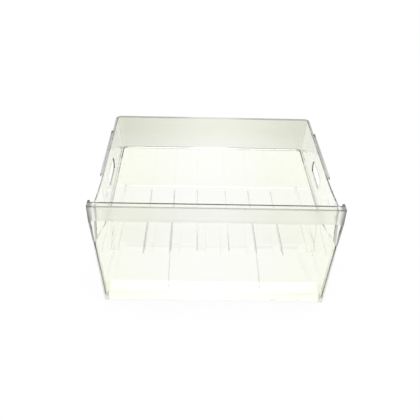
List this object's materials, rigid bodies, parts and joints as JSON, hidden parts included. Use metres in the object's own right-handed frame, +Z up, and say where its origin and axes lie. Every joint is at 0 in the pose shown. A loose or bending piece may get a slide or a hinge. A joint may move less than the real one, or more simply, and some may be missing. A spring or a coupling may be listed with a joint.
{
  "type": "freezer drawer",
  "caption": "One-piece clear plastic freezer drawer: shouldered tub that widens and deepens at its mouth, tapered front panel with a finger cove under an overhanging rail, side hand holes, fluted floor.",
  "frame": {"origin": "on the ground under the middle of the whole moulding, level with the lower edge of the front panel", "axes": "+Z up with the floor level as in use, front panel towards -Y, +X to the right seen from the front"},
  "size_m": [0.428, 0.414, 0.183],
  "materials": {
    "clear_plastic": "clear polystyrene, glossy, satin on the rail's face"
  },
  "bodies": {
    "root": {"drawer": "clear_plastic"}
  },
  "joints": []
}
